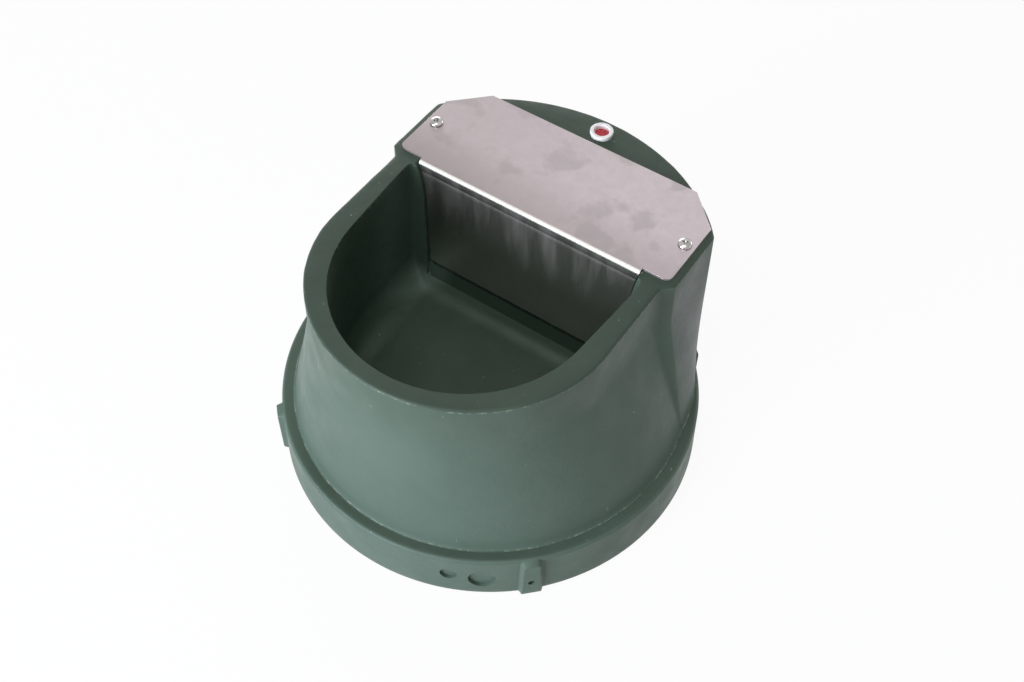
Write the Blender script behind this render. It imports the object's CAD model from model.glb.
import bmesh
import bpy
import numpy as np
from math import cos, pi, radians, sin, tan
from mathutils import Matrix, Vector


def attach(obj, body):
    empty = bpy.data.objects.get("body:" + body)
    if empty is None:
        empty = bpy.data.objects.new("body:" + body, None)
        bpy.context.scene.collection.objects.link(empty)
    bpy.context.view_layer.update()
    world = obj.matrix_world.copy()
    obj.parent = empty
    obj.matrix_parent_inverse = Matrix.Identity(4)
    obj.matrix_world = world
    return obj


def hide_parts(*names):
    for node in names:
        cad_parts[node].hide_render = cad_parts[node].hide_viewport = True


mm = 0.001

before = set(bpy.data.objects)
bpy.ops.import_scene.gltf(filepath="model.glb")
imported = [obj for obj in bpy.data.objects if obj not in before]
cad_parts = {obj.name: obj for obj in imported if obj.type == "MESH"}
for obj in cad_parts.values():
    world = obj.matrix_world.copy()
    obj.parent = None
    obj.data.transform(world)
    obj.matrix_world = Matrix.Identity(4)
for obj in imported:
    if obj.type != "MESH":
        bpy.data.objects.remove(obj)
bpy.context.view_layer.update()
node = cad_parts


# ---------------------------------------------------------------- shell
# The double-skinned body: dark green polyethylene, moulded in one with its ring and lugs.
# It stands on its ring, drops over a stand pipe and carries every other piece.

ring_radius = 190.0
ring_top_radius = 188.5
ring_height = 49.0
ring_edge = 3.5
ledge_turn = 1.6                     # how far the ledge runs under the body's foot, and its round
skirt_inner = (181.0, 179.5)         # at the floor and under the belly
skirt_round = 4.0
belly = 40.0
foot_radius = 176.7
waist = 172.0
rim = 218.3
crease = 4.0                         # softness of the crease at the waist
bowl_half, bowl_depth, bowl_y = 131.9, 124.5, -34.3     # drinking end at the waist
lean = 1.0                           # how much the walls lean in, waist to rim
rim_round, mouth_edge = 2.4, 0.8     # edges of the rim, outside and inside
flash_stand = 0.32                   # moulding flash on the rim's outer edge
box_front = ((169.9, 49.0), (140.8, 55.0))   # front corner of the valve box, foot and waist
box_rear = ((141.7, 123.1), (140.8, 119.1))  # rear corner
box_back = (187.7, 186.4)            # middle of the rear wall
box_bulge = (5.2, 0.05)              # rise of the side over its chord
box_overlap = 5.0                    # how far the drinking end reaches into the valve box
end_softness, side_softness, rear_softness = 1.6, 1.0, 1.2    # of the corners between the walls
mouth, mouth_y, mouth_splay = 110.5, -32.8, radians(4.1)    # drinking space: radius, centre, sides
mouth_lean = tan(radians(2.3))
bowl_floor, floor_round = 70.0, 28.0
cheek, cheek_round, cheek_softness = 48.0, 20.0, 10.0       # wall behind it, on both sides of the flap
chamber, chamber_back, chamber_floor, chamber_round = 100.0, 142.0, 92.0, 14.0   # valve chamber
recess_back, recess_foot, recess_gap, sill = 52.0, 77.0, 1.5, 50.4    # recess that the flap hangs in
recess_round, recess_splay = 3.0, 3.5          # its bottom corners, and its cut-away under the bend
gutter_width, gutter_depth, gutter_edge = 9.0, 2.5, 2.4       # behind the sill
flap_half, flap_top_half = 103.0, 109.2        # the cover's flap, below the waist and at the rim
flap_sweep = ((rim - waist) ** 2 + (flap_top_half - flap_half) ** 2) / (2 * (flap_top_half - flap_half))
lug_angles = radians(45) + np.arange(4) * pi / 2
lug_reach = 0.2                      # a lug's ray stays within this angle of its middle
lug_face, lug_top, lug_foot_half, lug_top_half = 193.8, 47.2, 9.6, 8.0
lug_round, lug_softness = 4.0, 3.0


def grid_mesh(points, closed=True):
    """Mesh of a grid of points in mm: each row is joined to the next one and, where closed, runs
    round to its own start. Points that fall together are one vertex, and a face that is left with
    fewer than three corners is dropped."""
    rows, columns, _ = points.shape
    flat = np.round(points.reshape(-1, 3), 4)
    unique, index = np.unique(flat, axis=0, return_inverse=True)
    index = index.reshape(rows, columns)
    following = np.roll(index, -1, axis=1)
    if not closed:
        index, following = index[:, :-1], following[:, :-1]
    quads = np.stack([index[:-1], following[:-1], following[1:], index[1:]], axis=-1).reshape(-1, 4)
    faces = []
    for quad in quads.tolist():
        corners = [vertex for k, vertex in enumerate(quad) if vertex != quad[k - 1]]
        if len(set(corners)) > 2:
            faces.append(corners)
    mesh = bpy.data.meshes.new("grid")
    mesh.from_pydata((unique * mm).tolist(), [], faces)
    return mesh


def soft_max(a, b, softness):
    """Larger of two values, rounded over where they cross."""
    return (a + b + np.sqrt((a - b) ** 2 + softness ** 2)) / 2


def soft_min(a, b, softness):
    """Smaller of two values, rounded over where they cross."""
    return (a + b - np.sqrt((a - b) ** 2 + softness ** 2)) / 2


def arc_reach(c, s, centre_x, centre_y, radius):
    """How far a ray from the axis goes to a circle round it: the ray's way to the point nearest the
    circle's centre, and half the chord beyond."""
    nearest = c * centre_x + s * centre_y
    half_chord = np.sqrt(np.maximum(nearest ** 2 - centre_x ** 2 - centre_y ** 2 + radius ** 2, 0))
    return nearest + half_chord


def hinge(z, low, high, slope_above):
    """A size that goes from its foot value to its waist value, and on at another slope above the
    waist, with a soft change of slope there."""
    slope = (high - low) / (waist - ring_height)
    past = (z - waist + np.sqrt((z - waist) ** 2 + crease ** 2)) / 2
    return high + slope * (z - waist) + (slope_above - slope) * past


def bowl_reach(c, s, z):
    """Outside of the drinking end at a height: from the round foot to the waist's half ellipse with
    straight sides behind it, cut off inside the valve box."""
    side = bowl_half / np.maximum(np.abs(c), 1e-6)
    a = (c / bowl_half) ** 2 + (s / bowl_depth) ** 2
    b = s * bowl_y / bowl_depth ** 2
    front = (b + np.sqrt(b ** 2 - a * ((bowl_y / bowl_depth) ** 2 - 1))) / a
    cut_off = (box_front[1][1] + box_overlap) / np.maximum(s, 1e-6)
    at_waist = np.minimum(np.where(side * s > bowl_y, side, front), cut_off)
    return hinge(z, np.minimum(foot_radius, cut_off), at_waist, -lean / (rim - waist))


def box_reach(c, s, z):
    """Outside of the valve box at a height: the nearest of the slanting return, the bowed side and
    the rear arc, with rounded corners."""
    c = np.abs(c)
    drop = -lean / (rim - waist)
    fx = hinge(z, box_front[0][0], box_front[1][0], drop)
    fy = hinge(z, box_front[0][1], box_front[1][1], 0)
    rx = hinge(z, box_rear[0][0], box_rear[1][0], drop)
    ry = hinge(z, box_rear[0][1], box_rear[1][1], 0)
    back = hinge(z, box_back[0], box_back[1], drop)
    bulge = max(hinge(z, *box_bulge, 0), 0.02)
    chord = np.hypot(rx - fx, ry - fy)
    side_radius = ((chord / 2) ** 2 + bulge ** 2) / (2 * bulge)
    out_x, out_y = (ry - fy) / chord, (fx - rx) / chord
    side = arc_reach(c, s, (fx + rx) / 2 - out_x * (side_radius - bulge),
                     (fy + ry) / 2 - out_y * (side_radius - bulge), side_radius)
    sag = back - ry
    rear_radius = (rx ** 2 + sag ** 2) / (2 * sag)
    rear = arc_reach(c, s, 0, back - rear_radius, rear_radius)
    slant = np.where(c - s > 0.05, (fx - fy) / np.maximum(c - s, 0.05), 1e3)
    return soft_min(soft_min(slant, side, side_softness), rear, rear_softness)


def outside(c, s, z):
    """Outside of the body: the drinking end and the valve box run into each other softly."""
    return soft_max(bowl_reach(c, s, z), box_reach(c, s, z), end_softness)


def ring_reach(turn, z):
    """Outside of the base ring with its four lugs: a flat face on each, narrower and rounded at its
    top, and run into the ring by a smooth step across its edges."""
    ring = ring_radius + (ring_top_radius - ring_radius) * min(z / ring_height, 1)
    reach = np.full_like(turn, ring)
    for angle in lug_angles:
        off = np.angle(np.exp(1j * (turn - angle)))
        near = np.abs(off) < lug_reach
        across = np.abs(lug_face * np.tan(np.where(near, off, 0)))
        half = lug_foot_half + (lug_top_half - lug_foot_half) * z / lug_top
        corner = max(z - (lug_top - lug_round), 0)
        half += np.sqrt(max(lug_round ** 2 - corner ** 2, 0)) - lug_round
        sides = np.clip((half + lug_softness / 2 - across) / lug_softness, 0, 1)
        top = np.clip((lug_top + lug_softness / 2 - z) / lug_softness, 0, 1)
        blend = (sides * sides * (3 - 2 * sides)) * (top * top * (3 - 2 * top)) * near
        reach = reach + (lug_face / np.cos(np.where(near, off, 0)) - ring) * blend
    return reach


def drinking_reach(c, s, z):
    """Inside of the drinking space: a circle with splayed sides tangent to it, cut off by the cheeks,
    opening towards a floor that it meets in a wide round."""
    across = np.abs(c)
    drop = min(max(bowl_floor + floor_round - z, 0), floor_round)
    inset = floor_round - np.sqrt(floor_round ** 2 - drop ** 2)
    radius = mouth + (rim - z) * mouth_lean - inset
    circle = arc_reach(c, s, 0, mouth_y, radius)
    facing = across * np.cos(mouth_splay) - s * np.sin(mouth_splay)
    side = (radius - np.sin(mouth_splay) * mouth_y) / np.maximum(facing, 1e-3)
    turn_y = mouth_y - radius * np.sin(mouth_splay)
    wall = np.where(side * s > turn_y, side, circle)
    drop = min(max(bowl_floor + cheek_round - z, 0), cheek_round)
    back_y = cheek - cheek_round + np.sqrt(cheek_round ** 2 - drop ** 2)
    behind = np.where(s > 0.02, back_y / np.maximum(s, 0.02), 1e4)
    return soft_min(wall, behind, cheek_softness)


def recess_reach(c, s, z):
    """Recess behind the flap: its sides sweep out along an arc towards the rim, and its back is cut
    away at 45 degrees under the cover's bend. Below the sill it slopes out into the bowl's wall."""
    half = flap_half + recess_gap + flap_sweep - np.sqrt(flap_sweep ** 2 - max(z - waist, 0) ** 2)
    corner = max(recess_foot + recess_round - z, 0)
    half -= recess_round - np.sqrt(recess_round ** 2 - corner ** 2)
    below = (chamber_floor - z) / (chamber_floor - recess_foot)
    if below > 0:
        back = sill - (sill - cheek) * below
    else:
        back = recess_back + max(z - rim + recess_splay, 0)
    return np.where(s > 0.02, np.minimum(half / np.maximum(np.abs(c), 1e-3), back / np.maximum(s, 0.02)), 0)


def chamber_reach(c, s):
    """Valve chamber behind: straight walls and rounded rear corners."""
    side = chamber / np.maximum(np.abs(c), 1e-3)
    back = chamber_back / np.maximum(s, 1e-3)
    walls = np.minimum(side, back)
    corner_x, corner_y = chamber - chamber_round, chamber_back - chamber_round
    x, y = np.abs(c) * walls, s * walls
    rounded = arc_reach(np.abs(c), s, corner_x, corner_y, chamber_round + 0 * c)
    return np.where((x > corner_x) & (y > corner_y), rounded, np.where(s > 0.02, walls, 0))


def span(start, end, count):
    """Evenly spaced values, without the first one."""
    return np.linspace(start, end, count + 1)[1:]


def shell_columns():
    """Directions round the axis: every 1.2 degrees, and closer where the outline turns sharply, at
    the box's front corners and recess, at its rear corners, and beside each lug."""
    closer = ((13.5, 19.5, 0.4), (19.5, 28.6, 0.16), (38, 56, 0.5), (41.6, 43.4, 0.2), (46.6, 48.4, 0.2),
              (-48.4, -46.6, 0.2), (-43.4, -41.6, 0.2))
    right = np.concatenate([np.arange(-90, 90, 1.2)] + [np.arange(*stretch) for stretch in closer])
    right = np.unique(np.round(right, 3))
    right = right[np.concatenate([[True], np.diff(right) > 0.07])]
    right = right[(right > -89.9) & (right < 89.9)]
    return np.radians(np.concatenate([[-90], right, [90], 180 - right[::-1]]))


def hollow(c, s, z, with_chamber=False, with_recess=False):
    """Inside of the shell at a height: the widest of the drinking space, the recess and the chamber."""
    reach = drinking_reach(c, s, z)
    if with_recess:
        reach = np.maximum(reach, recess_reach(c, s, z))
    if with_chamber:
        reach = np.maximum(reach, chamber_reach(c, s))
    return reach


def shell_grid():
    """The shell's surface as rings round the upright axis, each a reach and a height for every
    direction: from the middle of the belly out over the skirt, ring, body and rim, and down inside
    to the middle of the bowl's floor."""
    turn = shell_columns()
    c, s = np.cos(turn), np.sin(turn)
    rings = []

    def ring_of(reach, z):
        rings.append((reach + 0 * c, z + 0 * c))

    # moulding flash: a fine bead whose height wanders from nothing to full round the shell
    wander = sum(np.sin(k * turn + 1.7 * k * k) for k in (9, 16, 23, 37, 61)) / 5
    flash = np.clip(0.45 + 0.9 * wander, 0.05, 1)

    # belly, skirt and the ring's foot
    for reach in (0, 60, 120, skirt_inner[1] - skirt_round):
        ring_of(reach, belly)
    for angle in span(0, pi / 2, 4):
        ring_of(skirt_inner[1] - skirt_round * (1 - np.sin(angle)),
                belly - skirt_round * (1 - np.cos(angle)))
    for z in span(belly - skirt_round, 1, 4):
        ring_of(skirt_inner[0] + (skirt_inner[1] - skirt_inner[0]) * z / belly, z)
    ring_of(skirt_inner[0] + 1, 0)
    ring_of(ring_reach(turn, 0) - 1, 0)
    # ring wall with its lugs, and its rounded top edge
    ring_of(ring_reach(turn, 0.3) - 0.3, 0.3)
    for z in np.concatenate([[1], span(1, 34, 7), span(34, ring_height - ring_edge, 12)]):
        ring_of(ring_reach(turn, z), z)
    for angle in span(0, pi / 2, 6):
        z = ring_height - ring_edge * (1 - np.sin(angle))
        ring_of(ring_reach(turn, z) - ring_edge * (1 - np.cos(angle)), z)
    # ledge, seam with its flash, and foot of the body
    top_edge = ring_top_radius - ring_edge
    foot = np.minimum(outside(c, s, ring_height), top_edge)
    for share in (0.4, 0.75):
        ring_of(top_edge + (foot + ledge_turn - top_edge) * share, ring_height)
    ring_of(foot + ledge_turn, ring_height)
    for out, up in ((1.5, 0.5), (1.15, 0.75), (0.8, 0.7)):
        ring_of(foot + out, ring_height + up * (0.35 + 0.65 * flash))
    for out, up in ((0.5, 0.8), (0.15, 1.2)):
        ring_of(foot + out, ring_height + up)
    # flare, soft crease, upper wall
    for z in np.concatenate([span(ring_height + 1.2, 60, 3), span(60, 152, 12), span(152, 190, 12),
                             span(190, rim - rim_round, 4)]):
        ring_of(outside(c, s, z), z)
    # rounded rim, with its flash low on the round
    wall = outside(c, s, rim - rim_round)
    for angle, stand in ((9, 0), (15, 0), (19, flash_stand), (23, flash_stand), (27, 0),
                         (38, 0), (52, 0), (70, 0), (90, 0)):
        radius = rim_round + stand * flash
        ring_of(wall - rim_round + radius * cos(radians(angle)),
                rim - rim_round + radius * sin(radians(angle)))
    inner = soft_max(soft_max(drinking_reach(c, s, rim), recess_reach(c, s, rim), 0.2),
                     chamber_reach(c, s), 0.2)
    for share in (0.3, 0.7):
        ring_of(wall - rim_round + (inner + mouth_edge - wall + rim_round) * share, rim)
    for angle in span(0, pi / 2, 3):
        ring_of(inner + mouth_edge * (1 - np.sin(angle)), rim - mouth_edge * (1 - np.cos(angle)))
    # down inside to the chamber's floor
    for z in np.concatenate([span(rim - mouth_edge, rim - 4, 3), span(rim - 4, 100, 14),
                             span(100, chamber_floor, 3)]):
        ring_of(hollow(c, s, z, with_chamber=True, with_recess=True), z)
    # over the chamber's floor to the gutter, and up to the sill
    outer = hollow(c, s, chamber_floor, with_chamber=True, with_recess=True)
    ledge = hollow(c, s, chamber_floor - 0.01, with_recess=True)
    ledge = np.where(outer - ledge < 0.3, outer, ledge)
    gutter = np.clip((outer - ledge) / gutter_width, 0, 1)
    for share in span(0, 1, 8):
        ring_of(outer + (ledge + gutter_width * gutter - outer) * share, chamber_floor)
    for out, fall in ((gutter_width - 2, gutter_depth), (gutter_edge, gutter_depth), (0.9, 0.5), (0, 0)):
        ring_of(ledge + out * gutter, chamber_floor - fall * gutter)
    # down the recess to its foot
    for z in span(chamber_floor, recess_foot, 6):
        ring_of(hollow(c, s, z, with_recess=True), z)
    outer, ledge = hollow(c, s, recess_foot, with_recess=True), hollow(c, s, recess_foot)
    for share in span(0, 1, 2):
        ring_of(outer + (ledge - outer) * share, recess_foot)
    # round into the bowl's floor, and over it to its middle
    start = np.arcsin((bowl_floor + floor_round - recess_foot) / floor_round)
    for angle in span(start, pi / 2, 9):
        z = bowl_floor + floor_round * (1 - np.sin(angle))
        ring_of(hollow(c, s, z), z)
    for share in (0.85, 0.6, 0.3, 0):
        ring_of(hollow(c, s, bowl_floor) * share, bowl_floor)
    reach, height = (np.array([ring[k] for ring in rings]) for k in range(2))
    return np.stack([reach * c, reach * s, height], axis=-1)


sharp_angle = radians(38)


def put_in_scene(name, mesh, material):
    """Links a finished mesh as an object at the origin, smooth except over sharp edges."""
    mesh.name = name
    mesh.materials.append(material)
    mesh.shade_smooth()
    mesh.set_sharp_from_angle(angle=sharp_angle)
    made = bpy.data.objects.new(name, mesh)
    bpy.context.scene.collection.objects.link(made)
    return made


def rod(radius, start, end, sides=48):
    """Closed cylinder between two points: rings of points round its middle line."""
    start, end = np.array(start, float), np.array(end, float)
    axis = (end - start) / np.linalg.norm(end - start)
    across = np.cross(axis, (0, 0, 1) if abs(axis[2]) < 0.9 else (1, 0, 0))
    across /= np.linalg.norm(across)
    beside = np.cross(axis, across)
    turn = np.linspace(0, 2 * pi, sides, endpoint=False)[:, None]
    circle = radius * (np.cos(turn) * across + np.sin(turn) * beside)
    return grid_mesh(np.stack([start + 0 * circle, start + circle, end + circle, end + 0 * circle]))


def outward(mesh):
    """Merges points that fall together, then turns every face of the mesh outwards."""
    bm = bmesh.new()
    bm.from_mesh(mesh)
    bmesh.ops.remove_doubles(bm, verts=bm.verts, dist=1e-7)
    bmesh.ops.recalc_face_normals(bm, faces=bm.faces)
    bm.to_mesh(mesh)
    bm.free()
    return mesh


def cut(target, cutters):
    """Takes closed meshes out of an object by exact Booleans, and keeps the result as its mesh."""
    parts = []
    for mesh in cutters:
        part = bpy.data.objects.new("cutter", outward(mesh))
        bpy.context.scene.collection.objects.link(part)
        parts.append(part)
        boolean = target.modifiers.new("cut", "BOOLEAN")
        boolean.object = part
        boolean.solver = "EXACT"
    depsgraph = bpy.context.evaluated_depsgraph_get()
    result = bpy.data.meshes.new_from_object(target.evaluated_get(depsgraph))
    target.modifiers.clear()
    target.data = result
    for part in parts:
        bpy.data.objects.remove(part)


def grown(solid, clearance):
    """Copy of a CAD solid's mesh with every point moved out along its normal by a clearance in mm."""
    mesh = outward(solid.data.copy())
    mesh.materials.clear()
    count = len(mesh.vertices)
    place, normal = np.empty(3 * count), np.empty(3 * count)
    mesh.vertices.foreach_get("co", place)
    mesh.vertex_normals.foreach_get("vector", normal)
    mesh.vertices.foreach_set("co", place + clearance * mm * normal)
    return mesh


def new_material(name, colour, metal=0.0, rough=0.5, **more):
    """A Principled material whose constant values sit on the shader's own sockets."""
    material = bpy.data.materials.new(name)
    material.use_nodes = True
    shader = material.node_tree.nodes["Principled BSDF"]
    shader.inputs["Base Color"].default_value = (*colour, 1.0)
    shader.inputs["Metallic"].default_value = metal
    shader.inputs["Roughness"].default_value = rough
    for socket, value in more.items():
        shader.inputs[socket.replace("_", " ")].default_value = value
    return material, shader


def add_node(owner, kind, links=None, **settings):
    """One more node in a material or the world: its settings, then {socket: a value or an output}."""
    tree = owner.node_tree
    made = tree.nodes.new(kind)
    for key, value in settings.items():
        setattr(made, key, value)
    for socket, value in (links or {}).items():
        if isinstance(value, bpy.types.NodeSocket):
            tree.links.new(value, made.inputs[socket])
        else:
            made.inputs[socket].default_value = value
    return made


def object_point(material, scale=(1, 1, 1)):
    """The point on the object in metres, stretched by a scale along each axis."""
    where = add_node(material, "ShaderNodeTexCoord")
    return add_node(material, "ShaderNodeMapping", {"Vector": where.outputs["Object"], "Scale": scale})


def cloud(material, size, detail=4.0, rough=0.5, stretch=(1, 1, 1), low=0.35, high=0.65):
    """Noise whose patches are about size metres across, spread from 0 to 1 between two levels."""
    point = object_point(material, stretch)
    noise = add_node(material, "ShaderNodeTexNoise", {
        "Vector": point.outputs[0], "Scale": 1 / size, "Detail": detail, "Roughness": rough})
    spread = add_node(material, "ShaderNodeMapRange", {
        "Value": noise.outputs[0], "From Min": low, "From Max": high})
    return spread.outputs[0]


def blend_colours(material, factor, first, second):
    """Colour that goes from the first to the second as a factor goes from 0 to 1."""
    mix = add_node(material, "ShaderNodeMix", {"Factor": factor}, data_type="RGBA")
    for socket, colour in (("A_Color", first), ("B_Color", second)):
        target = next(i for i in mix.inputs if i.identifier == socket)
        if isinstance(colour, bpy.types.NodeSocket):
            material.node_tree.links.new(colour, target)
        else:
            target.default_value = (*colour, 1.0)
    return next(o for o in mix.outputs if o.identifier == "Result_Color")


def between(material, factor, low, high):
    """Number that goes from low to high as a factor goes from 0 to 1."""
    return add_node(material, "ShaderNodeMapRange", {
        "Value": factor, "To Min": low, "To Max": high}).outputs[0]


def bumps(material, shader, layers):
    """Layers of (height, depth in metres), one over the other, as the shader's surface."""
    under = None
    for height, depth in layers:
        bump = add_node(material, "ShaderNodeBump", {"Height": height, "Distance": depth})
        if under:
            material.node_tree.links.new(under, bump.inputs["Normal"])
        under = bump.outputs[0]
    material.node_tree.links.new(under, shader.inputs["Normal"])


def paint(owner, shader, **sockets):
    """Links node outputs to the shader's sockets."""
    for socket, output in sockets.items():
        owner.node_tree.links.new(output, shader.inputs[socket.replace("_", " ")])


def along(material, axis, start, end):
    """Factor that goes softly from 0 to 1 as a point's x, y or z goes from start to end, in mm."""
    parts = add_node(material, "ShaderNodeSeparateXYZ", {0: object_point(material).outputs[0]})
    return add_node(material, "ShaderNodeMapRange", {
        "Value": parts.outputs[axis], "From Min": start * mm, "From Max": end * mm},
        interpolation_type="SMOOTHSTEP").outputs[0]


def joined(owner, operation, first, second):
    """Sum, product or larger of two factors."""
    return add_node(owner, "ShaderNodeMath", {0: first, 1: second}, operation=operation).outputs[0]


def times(material, first, second):
    """Product of two factors."""
    return joined(material, "MULTIPLY", first, second)


def band(material, axis, low, high, soft):
    """Factor that is 1 between two places along an axis and fades out past them, in mm."""
    return times(material, along(material, axis, low - soft, low), along(material, axis, high + soft, high))


green, green_shader = new_material(
    "green_polyethylene", (0.078, 0.122, 0.090), rough=0.5, Specular_IOR_Level=0.28)
low_green = blend_colours(
    green, cloud(green, 0.09, detail=3), (0.077, 0.119, 0.092), (0.086, 0.131, 0.102))
top_green = blend_colours(
    green, cloud(green, 0.05, detail=3), (0.064, 0.100, 0.074), (0.072, 0.110, 0.083))
deep_green = blend_colours(
    green, cloud(green, 0.05, detail=3), (0.035, 0.058, 0.040), (0.043, 0.068, 0.048))
green_colour = blend_colours(green, along(green, "Z", 150, 214), low_green, top_green)
# the rim, the ledge and the bowl are deeper in colour than the weathered walls
from_bowl = add_node(green, "ShaderNodeVectorMath", {
    0: object_point(green, (1, 1, 0)).outputs[0], 1: (0, mouth_y * mm, 0)}, operation="DISTANCE")
in_bowl = add_node(green, "ShaderNodeMapRange", {
    "Value": from_bowl.outputs["Value"], "From Min": 0.122, "From Max": 0.112}).outputs[0]
in_bowl = times(green, in_bowl, along(green, "Z", 60, 66))
deep = joined(green, "MAXIMUM", in_bowl, along(green, "Z", 216.4, 217.9))
deep = joined(green, "MAXIMUM", deep, times(green, band(green, "Z", 48.7, 49.2, 0.3), 0.6))
green_colour = blend_colours(green, deep, green_colour, deep_green)
# rubbed, greyer sides of the valve box
rub_grain = between(green, cloud(green, 0.0022, detail=5), 0.25, 0.85)
rubbed = times(green, band(green, "Y", 74, 100, 24), rub_grain)
both_sides = joined(green, "ADD", along(green, "X", 124, 132), along(green, "X", -124, -132))
rubbed = times(green, times(green, rubbed, both_sides), band(green, "Z", 75, 200, 18))
green_colour = blend_colours(green, rubbed, green_colour, (0.150, 0.155, 0.164))
# pale flash and nicks along the rim and the seam, where the moulding was trimmed and knocked
nick = cloud(green, 0.004, detail=6, rough=0.7, low=0.50, high=0.64)
for low, high, soft, colour in ((215.9, 216.7, 0.5, (0.22, 0.27, 0.21)),
                                (49.45, 49.8, 0.15, (0.24, 0.27, 0.21))):
    trimmed = times(green, nick, band(green, "Z", low, high, soft))
    green_colour = blend_colours(green, trimmed, green_colour, colour)
# pale flecks and short upright scratches
fleck = cloud(green, 0.0035, detail=2, rough=0.4, low=0.765, high=0.80)
scratch = cloud(green, 0.006, detail=3, rough=0.5, stretch=(1, 1, 0.07), low=0.735, high=0.77)
for mark in (fleck, scratch):
    green_colour = blend_colours(green, between(green, mark, 0, 0.7), green_colour, (0.26, 0.30, 0.26))
paint(green, green_shader, Base_Color=green_colour,
      Roughness=between(green, cloud(green, 0.03), 0.42, 0.56))
# slow waves of the moulding, its fine orange peel, and its grain
bumps(green, green_shader, [
    (cloud(green, 0.028, detail=2, low=0.2, high=0.8), 0.0005),
    (cloud(green, 0.0030, detail=3, low=0.2, high=0.8), 0.00010),
    (cloud(green, 0.0007, detail=2, low=0.2, high=0.8), 0.00003)])


def dress(name, material):
    """Gives a CAD node its finish."""
    node[name].data.materials.clear()
    node[name].data.materials.append(material)


shell = put_in_scene("moulded_shell", grid_mesh(shell_grid()), green)
screws = ((124.5, 96.4), (-124.5, 96.4))       # x and y of the cover's screws
bush = (0, 169.2)                    # and of the filler bush and the valve's tail
valve = (-75, 97)
foam_clearance = 0.28                # the foam's solid stands this far clear of both skins
lug_hole, lug_hole_height = 3.25, 19.0
marks = ((23.5, -57.5, 22.5), (14.5, -66.1, 26.0))      # across, angle round the ring, height
mark_depth = 2.0
insert_hole, insert_depth = 4.55, 14.0
bush_hole, bush_depth = 8.05, 5.3
tail_hole = 10.98
overshoot = 9.0                      # how far a cutter stands out of the surface that it cuts


def on_ring(angle, reach, z):
    """Point at an angle round the ring, in degrees."""
    return reach * cos(radians(angle)), reach * sin(radians(angle)), z


holes = [rod(lug_hole, on_ring(angle, skirt_inner[1] - overshoot, lug_hole_height),
             on_ring(angle, ring_radius + overshoot, lug_hole_height), 32)
         for angle in np.degrees(lug_angles)]
holes += [rod(across / 2, on_ring(angle, ring_top_radius - mark_depth, z),
              on_ring(angle, ring_radius + overshoot, z), 64) for across, angle, z in marks]
holes += [rod(insert_hole, (x, y, rim - insert_depth), (x, y, rim + overshoot), 32) for x, y in screws]
holes.append(rod(bush_hole, (*bush, rim - bush_depth), (*bush, rim + overshoot)))
holes.append(rod(tail_hole, (*valve, belly - overshoot), (*valve, chamber_floor + overshoot)))
cut(shell, [grown(node["foam_core"], foam_clearance)])
cut(shell, holes)
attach(shell, "housing")
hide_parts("shell")


# ---------------------------------------------------------------- foam core
# Rigid insulating foam, poured between the two skins so that the water stays cool in summer
# and free of ice in winter. It is closed in by the shell and its belly.

foam, foam_shader = new_material("core_foam", (0.80, 0.70, 0.42), rough=0.9)
paint(foam, foam_shader, Base_Color=blend_colours(
    foam, cloud(foam, 0.004), (0.74, 0.62, 0.36), (0.84, 0.76, 0.50)))
bumps(foam, foam_shader, [(cloud(foam, 0.002), 0.0004)])
dress("foam_core", foam)


# ---------------------------------------------------------------- threaded inserts
# Knurled brass inserts, pressed warm into the top of the shell to take the cover's screws.
# The float valve's brass pieces share their metal, dulled by the water.

brass, brass_shader = new_material("dull_brass", (0.72, 0.52, 0.26), metal=1.0, rough=0.35)
tarnish = cloud(brass, 0.009, detail=6, rough=0.6)
limescale = cloud(brass, 0.0035, detail=5, rough=0.7, low=0.58, high=0.72)
brass_colour = blend_colours(brass, tarnish, (0.72, 0.54, 0.29), (0.50, 0.34, 0.18))
paint(brass, brass_shader,
      Base_Color=blend_colours(brass, limescale, brass_colour, (0.62, 0.62, 0.55)),
      Metallic=between(brass, limescale, 1.0, 0.35),
      Roughness=between(brass, tarnish, 0.26, 0.52))
bumps(brass, brass_shader, [
    (cloud(brass, 0.0006, detail=2), 0.00002), (limescale, 0.00006)])
for name in ("insert_nuts", "valve_body", "valve_locknut", "piston", "lever", "adjusting_nut",
             "float_arm", "arm_nuts"):
    dress(name, brass)


# ---------------------------------------------------------------- filler bush and plug
# A turned white plastic bush pressed into the hole the foam is poured through, behind the
# cover, and the dished red plug that closes its bore.

bush_radius, bush_stand, bush_bore, bush_spigot, bush_reach = 10.25, 3.7, 6.75, 8.0, 6.5
bush_outer_round, bush_inner_round, bore_taper = 0.9, 0.7, 0.05
plug_sink, plug_thickness, plug_gap, plug_round = 4.4, 3.0, 0.05, 0.5
dish_radius, dish_depth, dish_border = 18.0, 0.8, 1.2


def turned(profile, centre, sides=96):
    """Solid of revolution: a closed profile of (radius, height) points carried round an upright
    axis through a centre."""
    turn = np.linspace(0, 2 * pi, sides, endpoint=False)
    radius, height = (np.array(profile + profile[:1])[:, k, None] for k in range(2))
    return np.stack([centre[0] + radius * np.cos(turn), centre[1] + radius * np.sin(turn),
                     centre[2] + height + 0 * turn], axis=-1)


def arc(centre, radius, start, end, count):
    """Points of an arc in a profile, from one angle to another in degrees."""
    angles = np.radians(np.linspace(start, end, count))
    return [(centre[0] + radius * cos(a), centre[1] + radius * sin(a)) for a in angles]


white, white_shader = new_material("white_plastic", (0.92, 0.92, 0.91), rough=0.38)
grime = cloud(white, 0.0025, detail=5, low=0.5, high=0.8)
paint(white, white_shader,
      Base_Color=blend_colours(white, grime, (0.93, 0.93, 0.92), (0.80, 0.80, 0.77)),
      Roughness=between(white, grime, 0.34, 0.5))
bumps(white, white_shader, [(cloud(white, 0.0008, detail=2), 0.00002)])
dress("valve_nozzle", white)

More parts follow.
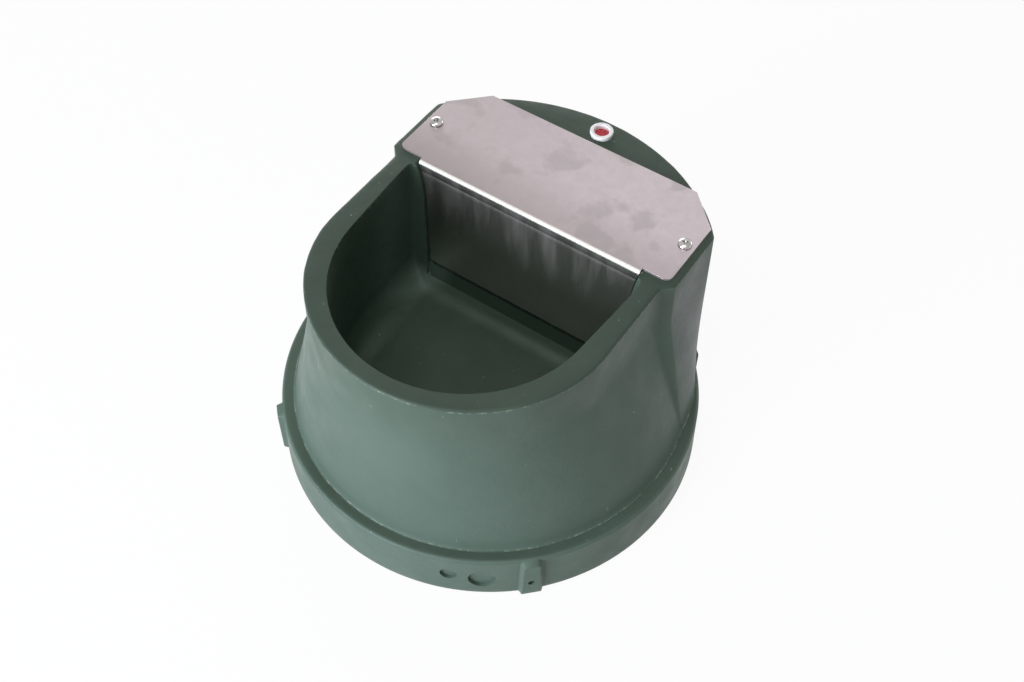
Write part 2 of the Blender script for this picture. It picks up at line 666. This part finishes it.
bush_profile = [(bush_bore, -bush_reach), (bush_spigot, -bush_reach), (bush_spigot, 0), (bush_radius, 0)]
bush_profile += arc((bush_radius - bush_outer_round, bush_stand - bush_outer_round),
                    bush_outer_round, 0, 90, 7)
bush_profile += arc((bush_bore + bore_taper + bush_inner_round, bush_stand - bush_inner_round),
                    bush_inner_round, 90, 180, 6)
bush_profile += [(bush_bore, bush_stand - 2 * bush_inner_round)]
bush_piece = put_in_scene(
    "filler_bush_ring", outward(grid_mesh(turned(bush_profile, (*bush, rim)))), white)
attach(bush_piece, "housing")
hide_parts("filler_bush")

red, red_shader = new_material("red_plastic", (0.52, 0.03, 0.05), rough=0.35)
paint(red, red_shader,
      Base_Color=blend_colours(red, cloud(red, 0.002), (0.56, 0.035, 0.06), (0.42, 0.02, 0.04)),
      Roughness=between(red, cloud(red, 0.0012), 0.28, 0.45))
bumps(red, red_shader, [(cloud(red, 0.0007, detail=2), 0.00003)])
plug_edge = bush_bore - plug_gap
plug_top = bush_stand - plug_sink
plug_profile = [(0, plug_top - plug_thickness), (plug_edge, plug_top - plug_thickness),
                (plug_edge, plug_top - plug_round)]
plug_profile += arc((plug_edge - plug_round, plug_top - plug_round), plug_round, 30, 90, 3)
plug_profile += [(plug_edge - dish_border, plug_top)]
plug_profile += arc((0, plug_top + dish_radius - dish_depth), dish_radius, -72.5, -90, 10)
plug_piece = put_in_scene(
    "filler_plug_disc", outward(grid_mesh(turned(plug_profile, (*bush, rim), 64))), red)
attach(plug_piece, "housing")
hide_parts("filler_plug")


# ---------------------------------------------------------------- float valve and its pin
# A brass float valve: its threaded tail drops through the chamber's floor, drawn down on a rubber
# gasket by a washer and locknut. A stainless pin and clip carry the lever; a rubber seal tips the piston.

rubber, rubber_shader = new_material("black_rubber", (0.02, 0.02, 0.02), rough=0.7)
paint(rubber, rubber_shader,
      Base_Color=blend_colours(rubber, cloud(rubber, 0.003), (0.018, 0.018, 0.018), (0.045, 0.044, 0.042)),
      Roughness=between(rubber, cloud(rubber, 0.002), 0.6, 0.8))
bumps(rubber, rubber_shader, [(cloud(rubber, 0.0006, detail=3), 0.00004)])
for name in ("valve_gasket", "piston_seal"):
    dress(name, rubber)

fastener, fastener_shader = new_material("stainless_fastener", (0.48, 0.47, 0.45), metal=1.0, rough=0.15)
paint(fastener, fastener_shader,
      Base_Color=blend_colours(fastener, cloud(fastener, 0.003), (0.50, 0.49, 0.47), (0.36, 0.35, 0.33)),
      Roughness=between(fastener, cloud(fastener, 0.002), 0.10, 0.20))
bumps(fastener, fastener_shader, [(cloud(fastener, 0.0005, detail=2), 0.00001)])
for name in ("valve_washer", "pivot_pin", "pivot_clip", "adjusting_screw"):
    dress(name, fastener)


# ---------------------------------------------------------------- float
# A hollow float, blow-moulded in pale plastic and slid on to the brass arm between two nuts.
# It rises with the water and closes the valve through the lever.

pale, pale_shader = new_material("float_plastic", (0.75, 0.75, 0.70), rough=0.45)
scum = cloud(pale, 0.014, detail=6, rough=0.6)
paint(pale, pale_shader,
      Base_Color=blend_colours(pale, scum, (0.79, 0.79, 0.74), (0.62, 0.62, 0.53)),
      Roughness=between(pale, scum, 0.38, 0.6))
bumps(pale, pale_shader, [(cloud(pale, 0.0015, detail=3), 0.00006)])
dress("float", pale)


# ---------------------------------------------------------------- steel cover
# One stainless sheet, 2 mm thick, cropped at its rear corners and bent down in front into a flap
# that hangs in the recess and screens the valve from the drinking animal.

sheet, bend_outer, edge_round = 2.0, 3.5, 0.3
cover_half, cover_rear, cover_chamfer, cover_round = 133.7, 153.2, 30.0, 6.0
cover_step, flap_front, flap_bottom, flap_round = 55.0, 49.8, 97.0, 3.0
cover_top = rim + sheet
brake_mark, groove_half, groove_depth = 6.5, 0.6, 0.22      # the press brake's mark below the bend
cover_hole = 3.3


def lid_half(y):
    """Half width of the lid at a distance back: chamfered behind, rounded at its front corners."""
    chamfered = cover_half - np.maximum(y - (cover_rear - cover_chamfer), 0)
    past = np.clip(cover_step + cover_round - y, 0, cover_round)
    return np.minimum(chamfered, cover_half - cover_round + np.sqrt(cover_round ** 2 - past ** 2))


def flap_half_at(z):
    """Half width of the flap at a height: it sweeps in from the bend along an arc, and its bottom
    corners are rounded."""
    rise = np.clip(z - waist, 0, rim - waist)
    past = np.clip(flap_bottom + flap_round - z, 0, flap_round)
    return (flap_half + flap_sweep - np.sqrt(flap_sweep ** 2 - rise ** 2)
            - flap_round + np.sqrt(flap_round ** 2 - past ** 2))


def cover_face():
    """The sheet's outer face: rows along its path, from the rear edge over the bend and down to
    the flap's foot; columns out to the flap's half width, and one more out to the lid's edge."""
    chamfer = np.array([cover_rear, 147.7, 140, 132, cover_rear - cover_chamfer])
    front_corner = cover_step + cover_round * np.cos(np.radians(np.linspace(0, 78, 7)))[1:]
    side = np.linspace(112, cover_step + cover_round, 5)
    lid = np.unique(np.concatenate([chamfer, side, front_corner, [cover_step]]))[::-1]
    bend = np.radians(np.linspace(0, 90, 12))
    mark = cover_top - bend_outer - brake_mark
    across_mark = mark + groove_half * np.array([1, 1 / 3, -1 / 3, -1])
    foot_corner = flap_bottom + flap_round * (1 - np.sin(np.radians(np.linspace(15, 90, 6))))
    flap = np.concatenate([[cover_top - bend_outer - 2.5], across_mark, np.linspace(204, waist, 9),
                           np.linspace(150, flap_bottom + flap_round, 3), foot_corner])
    groove = groove_depth * (np.abs(flap - mark) < groove_half / 2)
    y = np.concatenate([lid, [cover_step],
                        flap_front + bend_outer * (1 - np.sin(bend)), flap_front + groove])
    z = np.concatenate([np.full(len(lid) + 1, cover_top),
                        cover_top - bend_outer * (1 - np.cos(bend)), flap])
    whole = np.concatenate([lid_half(lid), np.full(1 + len(bend), flap_top_half), flap_half_at(flap)])
    middle = np.minimum(whole, flap_top_half)
    across = np.linspace(-1, 1, 25)
    x = np.concatenate([-whole[:, None], middle[:, None] * across, whole[:, None]], axis=1)
    return np.stack([x, y[:, None] + 0 * x, z[:, None] + 0 * x], axis=-1)


steel, steel_shader = new_material("brushed_sheet", (0.52, 0.46, 0.48), metal=1.0, rough=0.3)
# mottled and stained all over, scraped at its right-hand end
mottle = cloud(steel, 0.010, detail=6, rough=0.65, low=0.3, high=0.7)
stain = cloud(steel, 0.036, detail=4, rough=0.5, low=0.54, high=0.62)
brushing = cloud(steel, 0.0009, detail=3, stretch=(1, 0.03, 0.03))
grain = cloud(steel, 0.0011, detail=3, low=0.2, high=0.8)
sheet_colour = blend_colours(steel, mottle, (0.58, 0.515, 0.535), (0.52, 0.460, 0.480))
sheet_colour = blend_colours(steel, between(steel, stain, 0, 0.5), sheet_colour, (0.36, 0.33, 0.34))
scrape = times(steel, cloud(steel, 0.0035, detail=3, stretch=(1, 0.08, 1), low=0.70, high=0.75),
               along(steel, "X", 60, 110))
sheet_colour = blend_colours(steel, between(steel, scrape, 0, 0.3), sheet_colour, (0.38, 0.35, 0.34))
# handled and dulled towards its front and left edges
dulled = joined(steel, "ADD", times(steel, along(steel, "X", 90, -130), 0.42),
                times(steel, along(steel, "Y", 104, 54), 0.42))
sheet_colour = blend_colours(steel, dulled, sheet_colour, (0.31, 0.27, 0.275))
# water marks down the flap, and the grey line that the press brake left under the bend
on_flap = band(steel, "Y", flap_front - 2, flap_front + 2.1, 0.5)
sheet_colour = blend_colours(steel, on_flap, sheet_colour, (0.50, 0.495, 0.455))
runs = times(steel, on_flap, cloud(steel, 0.016, detail=3, stretch=(1, 1, 0.16), low=0.42, high=0.68))
runs = times(steel, runs, along(steel, "Z", 118, 190))
brake_height = cover_top - bend_outer - brake_mark
pressed = times(steel, on_flap, band(steel, "Z", brake_height - 0.9, brake_height + 0.5, 0.5))
sheet_colour = blend_colours(steel, between(steel, pressed, 0, 0.75), sheet_colour, (0.16, 0.15, 0.145))
film = joined(steel, "MAXIMUM", runs, times(steel, on_flap, 0.2))
# the bend is roughened by the press brake
bent = times(steel, band(steel, "Z", cover_top - bend_outer, cover_top - 0.2, 0.15), 0.8)
paint(steel, steel_shader,
      Base_Color=sheet_colour,
      Metallic=between(steel, film, 1.0, 0.82),
      Roughness=between(steel, bent, between(steel, brushing, 0.29, 0.35), 0.62))
bumps(steel, steel_shader, [
    (cloud(steel, 0.06, detail=2, low=0.2, high=0.8), 0.0004), (grain, 0.000010), (brushing, 0.000003)])

cover = put_in_scene("cover_sheet", outward(grid_mesh(cover_face(), closed=False)), steel)
facing_up = np.mean([face.normal.z for face in cover.data.polygons]) > 0
# the sheet gets its thickness and its holes at once, and its edges are rounded last
wall = cover.modifiers.new("wall", "SOLIDIFY")
wall.thickness = sheet * mm
wall.offset = -1 if facing_up else 1
wall.use_even_offset = True
cut(cover, [rod(cover_hole, (x, y, rim - sheet), (x, y, cover_top + sheet), 48) for x, y in screws])
cover.data.set_sharp_from_angle(angle=sharp_angle)
edge = cover.modifiers.new("edge", "BEVEL")
edge.width = edge_round * mm
edge.segments = 2
edge.limit_method = "ANGLE"
edge.angle_limit = radians(50)
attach(cover, "housing")
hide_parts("cover")


# ---------------------------------------------------------------- cover screws
# Two polished stainless screws with domed pan heads and cross recesses, 6 mm in the shank,
# driven through the cover into the inserts.

head_radius, head_height, head_side, shank_radius, shank_length = 6.0, 3.6, 0.7, 3.0, 14.0
head_chamfer, tip_chamfer = 0.3, 0.5
recess_steps = ((1, 3.2, 0.85), (0, 2.9, 0.75), (-1.1, 2.1, 0.5), (-2.0, 0.9, 0.3))


def recess_arm(centre, turn):
    """One arm of a cross recess: a tapered slot, as rings of four corners that shrink downwards.
    Each step is a height, half a length and half a width."""
    height, length, width = (np.array(recess_steps)[:, k, None, None] for k in range(3))
    corners = np.array([(1, 1), (-1, 1), (-1, -1), (1, -1)])
    rings = (centre + corners[:, :1] * length * (cos(turn), sin(turn), 0)
             + corners[:, 1:] * width * (-sin(turn), cos(turn), 0) + height * (0, 0, 1))
    first, last = (ring.mean(axis=1, keepdims=True) for ring in (rings[:1], rings[-1:]))
    return grid_mesh(np.concatenate([first + 0 * rings[:1], rings, last + 0 * rings[:1]]))


screw_profile = [(0, -shank_length), (shank_radius - tip_chamfer, -shank_length),
                 (shank_radius, -shank_length + tip_chamfer), (shank_radius, 0),
                 (head_radius - head_chamfer, 0), (head_radius, head_chamfer), (head_radius, head_side)]
screw_profile += [(head_radius * cos(a) ** 0.75, head_side + (head_height - head_side) * sin(a))
                  for a in np.radians(np.linspace(8, 86, 14))]
screw_profile += [(0, head_height)]
for number, place, turn in ((1, screws[0], 0.35), (2, screws[1], 1.1)):
    screw_mesh = outward(grid_mesh(turned(screw_profile, (*place, cover_top), 64)))
    screw = put_in_scene(f"cover_screw_{number}", screw_mesh, fastener)
    top = np.array((*place, cover_top + head_height))
    cut(screw, [recess_arm(top, turn), recess_arm(top, turn + pi / 2)])
    screw.data.set_sharp_from_angle(angle=sharp_angle)
    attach(screw, "housing")
    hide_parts("cover_screws")


# ---------------------------------------------------------------- floor, light and camera
# A plain pale floor and a white backdrop, with soft lamps in front of the drinking end, overhead
# and behind at both sides. The camera looks down from the front right.


def seen_ray(owner):
    """1 for rays from the camera, a reflection or a pane of glass, 0 for light on surfaces."""
    path = add_node(owner, "ShaderNodeLightPath")
    seen = path.outputs["Is Camera Ray"]
    for ray in ("Is Glossy Ray", "Is Transmission Ray"):
        seen = joined(owner, "MAXIMUM", seen, path.outputs[ray])
    return seen


def mixed(material, factor, first, second):
    """Shader that goes from the first to the second as a factor goes from 0 to 1."""
    return add_node(material, "ShaderNodeMixShader", {0: factor, 1: first, 2: second}).outputs[0]


floor_size, floor_drop = 8.0, 0.0002
floor_corners = [(x * floor_size / 2, y * floor_size / 2, -floor_drop)
                 for x, y in ((-1, -1), (1, -1), (1, 1), (-1, 1))]
floor_mesh = bpy.data.meshes.new("floor")
floor_mesh.from_pydata(floor_corners, [], [(0, 1, 2, 3)])
floor = bpy.data.objects.new("floor", floor_mesh)
bpy.context.scene.collection.objects.link(floor)

# the floor takes the shadow, and otherwise looks as white as the backdrop
paper = bpy.data.materials.new("floor_paper")
paper.use_nodes = True
paper.node_tree.nodes.clear()
matt = add_node(paper, "ShaderNodeBsdfDiffuse", {"Color": (0.9, 0.9, 0.9, 1)}).outputs[0]
glow = add_node(paper, "ShaderNodeEmission", {"Strength": 1.0}).outputs[0]
glow_share = 0.93
top_side = mixed(paper, times(paper, seen_ray(paper), glow_share), matt, glow)
# seen from underneath, it lets the object show
clear = add_node(paper, "ShaderNodeBsdfTransparent").outputs[0]
from_below = add_node(paper, "ShaderNodeNewGeometry").outputs["Backfacing"]
add_node(paper, "ShaderNodeOutputMaterial", {"Surface": mixed(paper, from_below, top_side, clear)})
floor_mesh.materials.append(paper)

# white where it is seen, and as light on surfaces a soft bright patch high up behind the bowl
world = bpy.data.worlds.new("studio")
bpy.context.scene.world = world
world.use_nodes = True
window_place, window_reach, window_light, dim_light = (-0.1, 0.55, 0.83), 0.9, 0.8, 0.05
sky = world.node_tree.nodes["Background"]
sky.inputs["Color"].default_value = (1, 1, 1, 1)
facing = add_node(world, "ShaderNodeTexCoord").outputs["Generated"]
off_window = add_node(world, "ShaderNodeVectorMath", {0: facing, 1: window_place}, operation="DISTANCE")
window = add_node(world, "ShaderNodeMapRange", {
    "Value": off_window.outputs["Value"], "From Min": 0.0, "From Max": window_reach,
    "To Min": window_light, "To Max": dim_light}, interpolation_type="SMOOTHSTEP").outputs[0]
paint(world, sky, Strength=joined(world, "MAXIMUM", window, seen_ray(world)))

lit_point = Vector((0, 0, 0.1))


def turned_to(place, target):
    """Place of a lamp or a camera that faces a point."""
    facing = (Vector(target) - Vector(place)).to_track_quat("-Z", "Y")
    return Matrix.Translation(place) @ facing.to_matrix().to_4x4()


def lamp(name, place, width, height, power, colour=(1, 1, 1)):
    """A soft rectangular lamp, in metres and watts, that faces the bowl."""
    light = bpy.data.lights.new(name, "AREA")
    light.shape = "RECTANGLE"
    light.size = width
    light.size_y = height
    light.energy = power
    light.color = colour
    made = bpy.data.objects.new(name, light)
    bpy.context.scene.collection.objects.link(made)
    made.matrix_world = turned_to(place, lit_point)


lamp("front", (-0.62, -2.25, 0.66), 1.5, 0.8, 64, (0.95, 1, 1.14))
lamp("overhead", (0.15, -0.8, 2.3), 1.2, 1.2, 22)
lamp("rear_right", (0.9, 2.1, 0.6), 1.0, 0.6, 8, (1, 0.93, 1))
lamp("rear_left", (-1.6, 1.7, 0.6), 1.4, 0.8, 22)

camera_place = (0.3965, -0.5657, 1.0047)
looked_at = (0.01987, 0.00347, 0.11388)
camera_roll = radians(0.99)
camera_data = bpy.data.cameras.new("camera")
camera_data.lens = 45.66
camera_data.sensor_width = 36.0
camera = bpy.data.objects.new("camera", camera_data)
bpy.context.scene.collection.objects.link(camera)
camera.matrix_world = turned_to(camera_place, looked_at) @ Matrix.Rotation(camera_roll, 4, "Z")
bpy.context.scene.camera = camera
bpy.context.scene.view_settings.view_transform = "Standard"
